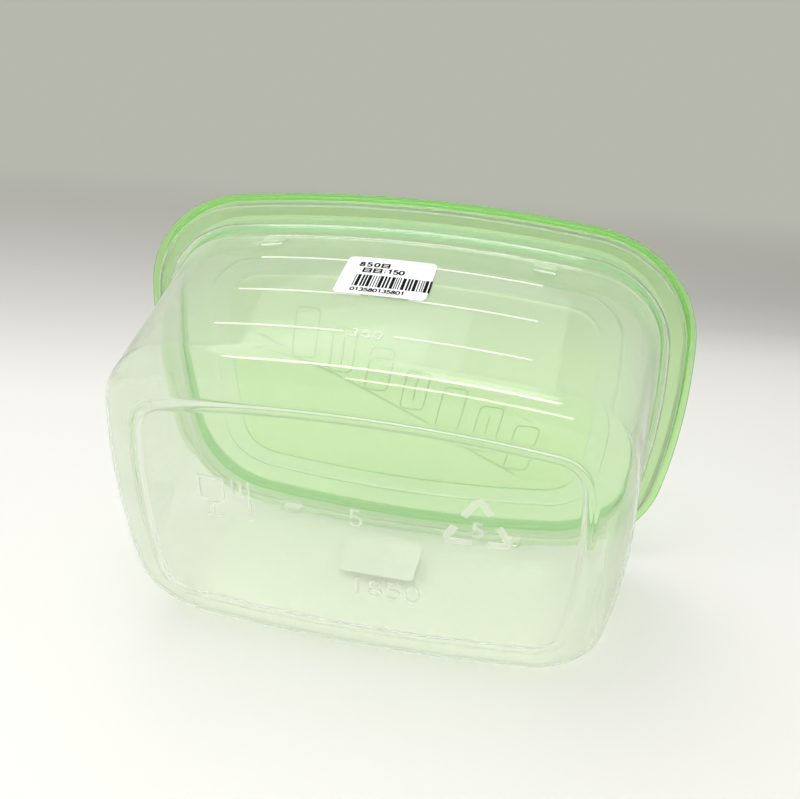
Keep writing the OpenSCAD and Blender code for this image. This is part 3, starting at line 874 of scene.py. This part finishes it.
def bar_lines():
    """The bars' middle lines, sorted by width."""
    lines, x, i = {}, BARS_FROM, 0
    while x < BARS_TO:
        w = BAR_WIDTHS[(i * i + 2 * i) % len(BAR_WIDTHS)]
        middle = x + w / 2
        lines.setdefault(w, []).append(line((middle, BAR_LOW), (middle, BAR_HIGH)))
        x += w + BAR_GAPS[(i * 5 + i // 3) % len(BAR_GAPS)]
        i += 1
    return sorted(lines.items())


text_lines = number("850", -10.4, 6.0, 2.5, 2.5) + square(-2.8, 6.0, 2.3)
text_lines += square(-8.4, 2.2, 2.4) + square(-4.8, 2.2, 2.4)
text_lines += [line((-1.4, y), (-0.9, y)) for y in (2.6, 3.9)]
text_lines += number("150", -0.2, 2.3, 2.5, 1.95)
code_digits = number("013580135801", -9.8, -10.2, 1.9, 1.5)
ink_pieces = [strokes("label_print", text_lines, on_label, TEXT_W, INK_H, INK),
              strokes("label_digits", code_digits, on_label, DIGIT_W, INK_H, INK)]
for w, lines in bar_lines():
    ink_pieces.append(strokes("label_bars_%02d" % round(w * 100), lines, on_label, w, INK_H, INK))

# %% [markdown]
# Paper is a matt white with a fine grain. The back label's paper is a darker copy of the same white:
# painted shade, set for how dim the label shows through the base and the back wall. Ink is nearly black
# and barely glossy, or it would mirror the lamps at the low angle from which the label is seen.

# %% Paper and ink
PAPER_WAVES, PAPER_SPREAD, PAPER_GRAIN = 900, 0.2, 0.000004


def matt(name, colour, roughness, grain, gloss=0.5):
    """A surface without glass: a grain in metres, and gloss as the specular level."""
    mat, tree, out = node_material(name)
    bsdf = tree.nodes.new("ShaderNodeBsdfPrincipled")
    bsdf.inputs["Base Color"].default_value = (*colour, 1)
    bsdf.inputs["Specular IOR Level"].default_value = gloss
    make_uneven(tree, bsdf, PAPER_WAVES, roughness, PAPER_SPREAD, grain)
    tree.links.new(bsdf.outputs[0], out.inputs["Surface"])
    return mat


paper = matt("label_paper", (0.95, 0.95, 0.95), 0.55, PAPER_GRAIN)
# Painted shade: the back label's paper is the front label's white, darkened.
shaded_paper = matt("label_paper_shaded", (0.8, 0.785, 0.775), 0.6, PAPER_GRAIN)
ink = matt("label_ink", (0.006, 0.006, 0.007), 0.7, 0, gloss=0.05)
for obj, node, mat in ((label, "label", paper), (back_label, "back_label", shaded_paper)):
    obj.data.materials.append(mat)
    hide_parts(node)
    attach(obj, "tub")
for obj in ink_pieces:
    obj.data.materials.append(ink)
    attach(obj, "tub")
print("2 labels and", len(ink_pieces), "pieces of print")

# %% [markdown]
# ## Table, ground and backdrop
# In the photo the box lies on its back wall on a pale table, touching it with the flared edge
# and the heel. The model stands upright instead, so the table is a leaning plane through those
# two lines, and its back is hidden. A level ground plane under the foot ring serves the views
# from the side, and hides from lamps and reflections. AHEAD and ASIDE are the camera's
# direction and its right, as they run over the table.

# %% Where the table and the camera are
LIP_BACK = np.array([0.0, RIM["width"] / 2 + FLARE_O, SKIRT_Z - FLARE_DROP]) * MM
HEEL_BACK = np.array([0.0, heel(0, HEEL_Z)[1], HEEL_Z]) * MM
along = (LIP_BACK - HEEL_BACK) / np.linalg.norm(LIP_BACK - HEEL_BACK)
up = np.array([0.0, -along[2], along[1]])
CAMERA_AT = np.array([49.97, -177.42, -184.15]) * MM
AHEAD = np.array([-0.170, 0.230, 0.958])
ASIDE = np.array([0.979, -0.018, 0.203])
print("table leans", round(math.degrees(math.atan2(along[1], along[2])), 1), "degrees from upright")

# %% [markdown]
# The table is bright near the box and falls off behind it, more on the right than on the left: painted
# shade, the fall of the lamps' light painted into the table's colour. Two colour ramps over the distance
# hold that, and the place across the table mixes them. Far away the plane fades out into the backdrop,
# so that no horizon shows.

# %% The table's and the ground's material
PALE = (0.865, 0.853, 0.825)
# Painted shade: levels of the table's colour where the lamps' light falls off.
LEFT_LEVELS = ((0.0, 1.0), (0.47, 1.0), (0.54, 0.93), (0.6, 0.86),
               (0.692, 0.78), (0.91, 0.7), (1.6, 0.58))
RIGHT_LEVELS = ((0.0, 1.0), (0.5, 1.0), (0.58, 0.985), (0.664, 0.92),
                (0.77, 0.71), (0.914, 0.6), (1.3, 0.56))
RAMP_REACH, SIDE_SLOPE, BLUE_LOSS = 2.0, 0.45, 0.02
FADE_FROM, FADE_TO = 0.6, 1.9


def distance_along(tree, place, direction):
    """How far a point lies from the camera's place along a direction, in metres."""
    dot = tree.nodes.new("ShaderNodeVectorMath")
    dot.operation = "DOT_PRODUCT"
    dot.inputs[1].default_value = direction
    tree.links.new(place.outputs["Position"], dot.inputs[0])
    return math_node(tree, "SUBTRACT", dot.outputs["Value"], float(CAMERA_AT @ direction))


def map_range(tree, value, low, high, smooth=False):
    """Nought at low and one at high."""
    node = tree.nodes.new("ShaderNodeMapRange")
    node.inputs["From Min"].default_value = low
    node.inputs["From Max"].default_value = high
    if smooth:
        node.interpolation_type = "SMOOTHSTEP"
    tree.links.new(value, node.inputs["Value"])
    return node.outputs[0]


def mix_colours(tree, share, first, second):
    """A mix of two colours, each a socket or numbers, by a socket."""
    node = tree.nodes.new("ShaderNodeMix")
    node.data_type = "RGBA"
    tree.links.new(share, node.inputs[0])
    two_colours = node.inputs[6:8]
    for socket, colour in zip(two_colours, (first, second)):
        if isinstance(colour, tuple):
            socket.default_value = (*colour, 1)
        else:
            tree.links.new(colour, socket)
    return node.outputs[2]


def level_ramp(tree, far, levels, colour):
    """The colour times a level that depends on the distance, a trace less blue where it is dark: painted
    shade that deepens with the distance.
    """
    node = tree.nodes.new("ShaderNodeValToRGB")
    tree.links.new(math_node(tree, "MULTIPLY", far, 1 / RAMP_REACH), node.inputs["Fac"])
    while len(node.color_ramp.elements) < len(levels):
        node.color_ramp.elements.new(0.5)
    for element, (distance, level) in zip(node.color_ramp.elements, levels):
        element.position = distance / RAMP_REACH
        blue = level - (1 - level) * BLUE_LOSS
        element.color = (colour[0] * level, colour[1] * level, colour[2] * blue, 1)
    return node.outputs["Color"]


def floor_material(name, colour, table):
    """A matt floor whose back is see-through. The table also has its levels and fades out far
    away. The ground is also hidden from shadow rays, from light that it would throw back at
    the box, and from reflections."""
    mat, tree, out = node_material(name)
    lit = tree.nodes.new("ShaderNodeBsdfDiffuse")
    lit.inputs["Color"].default_value = (*colour, 1)
    gone = tree.nodes.new("ShaderNodeBsdfTransparent")
    place = tree.nodes.new("ShaderNodeNewGeometry")
    hide = place.outputs["Backfacing"]
    if table:
        far = distance_along(tree, place, AHEAD)
        slope = math_node(tree, "DIVIDE", distance_along(tree, place, ASIDE), far)
        ramps = [level_ramp(tree, far, levels, colour) for levels in (LEFT_LEVELS, RIGHT_LEVELS)]
        across = map_range(tree, slope, -SIDE_SLOPE, SIDE_SLOPE)
        tree.links.new(mix_colours(tree, across, *ramps), lit.inputs["Color"])
        fade = map_range(tree, far, FADE_FROM, FADE_TO, smooth=True)
        hide = math_node(tree, "MAXIMUM", hide, fade)
    else:
        path = tree.nodes.new("ShaderNodeLightPath").outputs
        mirrored = math_node(tree, "GREATER_THAN", path["Glossy Depth"], 0.5)
        for ray in (path["Is Shadow Ray"], path["Is Diffuse Ray"], mirrored):
            hide = math_node(tree, "MAXIMUM", hide, ray)
    tree.links.new(mix_shaders(tree, hide, lit.outputs[0], gone.outputs[0]), out.inputs["Surface"])
    return mat


print("table ramps with", len(LEFT_LEVELS), "and", len(RIGHT_LEVELS), "levels")

# %% [markdown]
# Each plane is a single square.

# %% The two planes
PLANE_HALF = 4.0


def plane(name, centre, x_dir, y_dir, material):
    """A square stage plane about a centre in metres, spanned by two directions."""
    c, x, y = (np.array(k, float) for k in (centre, x_dir, y_dir))
    corners = [c + (x * i + y * j) * PLANE_HALF for i, j in ((-1, -1), (1, -1), (1, 1), (-1, 1))]
    obj = mesh_from(name, np.array(corners) / MM, [(0, 1, 2, 3)], smooth=False)
    obj.data.materials.append(material)
    print(name, "is", 2 * PLANE_HALF, "m wide")
    return obj


plane("floor", LIP_BACK, (1, 0, 0), along, floor_material("floor", PALE, True))
plane("ground", (0, 0, 0), (1, 0, 0), (0, 1, 0), floor_material("ground", PALE, False))

# %% [markdown]
# ## Light
# The world gives an even light. What the camera sees of it, straight, mirrored or through the plastic,
# is a backdrop instead: grey where it looks out over the table, and pale all round. The grey is painted
# shade, for a backdrop that the lamps light less. So the background comes from colour, and the light on
# the box doesn't change with it.

# %% The world
WORLD_TINT, WORLD_STRENGTH = (1, 1, 0.985), 0.57
# The high colour is painted shade on the far backdrop.
BACKDROP_LOW, BACKDROP_HIGH = (0.85, 0.85, 0.82), (0.47, 0.475, 0.42)
BACKDROP_FROM, BACKDROP_TO = 0.35, 0.8

world = bpy.data.worlds.new("studio")
bpy.context.scene.world = world
world.use_nodes = True
tree = world.node_tree
light = tree.nodes["Background"]
light.inputs["Color"].default_value = (*WORLD_TINT, 1)
light.inputs["Strength"].default_value = WORLD_STRENGTH
toward = tree.nodes.new("ShaderNodeTexCoord")
facing = tree.nodes.new("ShaderNodeVectorMath")
facing.operation = "DOT_PRODUCT"
facing.inputs[1].default_value = AHEAD
tree.links.new(toward.outputs["Generated"], facing.inputs[0])
share = map_range(tree, facing.outputs["Value"], BACKDROP_FROM, BACKDROP_TO, smooth=True)
show = tree.nodes.new("ShaderNodeBackground")
tree.links.new(mix_colours(tree, share, BACKDROP_LOW, BACKDROP_HIGH), show.inputs["Color"])
path = tree.nodes.new("ShaderNodeLightPath").outputs
seen = math_node(tree, "MAXIMUM", path["Is Camera Ray"], path["Is Transmission Ray"])
seen = math_node(tree, "MAXIMUM", seen, path["Is Glossy Ray"])
surface = mix_shaders(tree, seen, light.outputs[0], show.outputs[0])
tree.links.new(surface, tree.nodes["World Output"].inputs["Surface"])
print("world light", WORLD_STRENGTH)

# %% [markdown]
# The front wall faces up from the table and mirrors what hangs over it. Three wide lamps of
# different lengths give it a sheen with a soft far edge. Two thin strips draw the bright
# streaks along the heel, and two short lamps the glow above the upper streak. Each lamp hangs
# at a height of its own, since lamps in one plane would hide one another in a reflection.

# %% The lamps
WALL_FOOT = np.array([0.0, -0.065, 0.02])


def lamp(name, left, right, near, far, over, radiance):
    """A rectangular lamp, level with the table and `over` metres above the front wall's foot.
    It reaches from left to right in metres, and from near to far by the elevations at which
    the wall's foot sees its edges: 90 degrees is straight up, and less is to the camera's side."""
    a, b = (over / math.tan(math.radians(k)) for k in (near, far))
    light = bpy.data.lights.new(name, "AREA")
    light.shape = "RECTANGLE"
    light.size, light.size_y = right - left, a - b
    light.energy = radiance * math.pi * light.size * light.size_y
    obj = bpy.data.objects.new(name, light)
    bpy.context.scene.collection.objects.link(obj)
    centre = WALL_FOOT + up * over - along * (a + b) / 2 + np.array([(left + right) / 2, 0, 0])
    axes = Matrix(((1, 0, 0), tuple(along), tuple(up))).transposed()
    obj.matrix_world = Matrix.Translation(Vector(centre)) @ axes.to_4x4()
    print(name, "is", round(light.size, 2), "by", round(light.size_y, 2), "m")
    return obj


lamp("wide_panel", -0.66, 0.26, 58, 134, 1.0, 0.46)
lamp("middle_panel", -0.66, 0.0, 60, 130.5, 1.02, 0.43)
lamp("left_panel", -0.72, -0.1, 62, 128.8, 1.04, 0.48)
lamp("high_strip", -0.7, 0.32, 50, 58, 1.0, 8.6)
lamp("high_glow", -0.06, 0.28, 58, 80, 0.98, 2.0)
lamp("soft_glow", -0.16, 0.22, 80, 108, 0.96, 0.7)
lamp("low_strip", -0.25, 0.36, 18, 20.5, 0.35, 11.0)

# %% [markdown]
# ## Camera
# The camera's place, direction and lens were found by fitting the outlines of the foot ring,
# the shoulder and the lid to the photo, so the render has the photo's view of the box. Colours
# go to the picture by the Standard view, as they are written.

# %% Camera
LENS, SENSOR, NEAREST = 36.54, 36, 0.01
FORWARD = Vector((-0.1596, 0.5514, 0.8188)).normalized()
RIGHT = Vector((0.979, -0.0179, 0.2028)).normalized()
cam_data = bpy.data.cameras.new("camera")
cam_data.sensor_width = SENSOR
cam_data.lens = LENS
cam_data.clip_start = NEAREST
camera = bpy.data.objects.new("camera", cam_data)
bpy.context.scene.collection.objects.link(camera)
up_dir = RIGHT.cross(FORWARD).normalized()
right_dir = FORWARD.cross(up_dir).normalized()
axes = Matrix((right_dir, up_dir, -FORWARD)).transposed().to_4x4()
camera.matrix_world = Matrix.Translation(Vector(CAMERA_AT)) @ axes
bpy.context.scene.camera = camera
bpy.context.scene.view_settings.view_transform = "Standard"
print("camera is", round(Vector(CAMERA_AT).length, 3), "m from the origin")
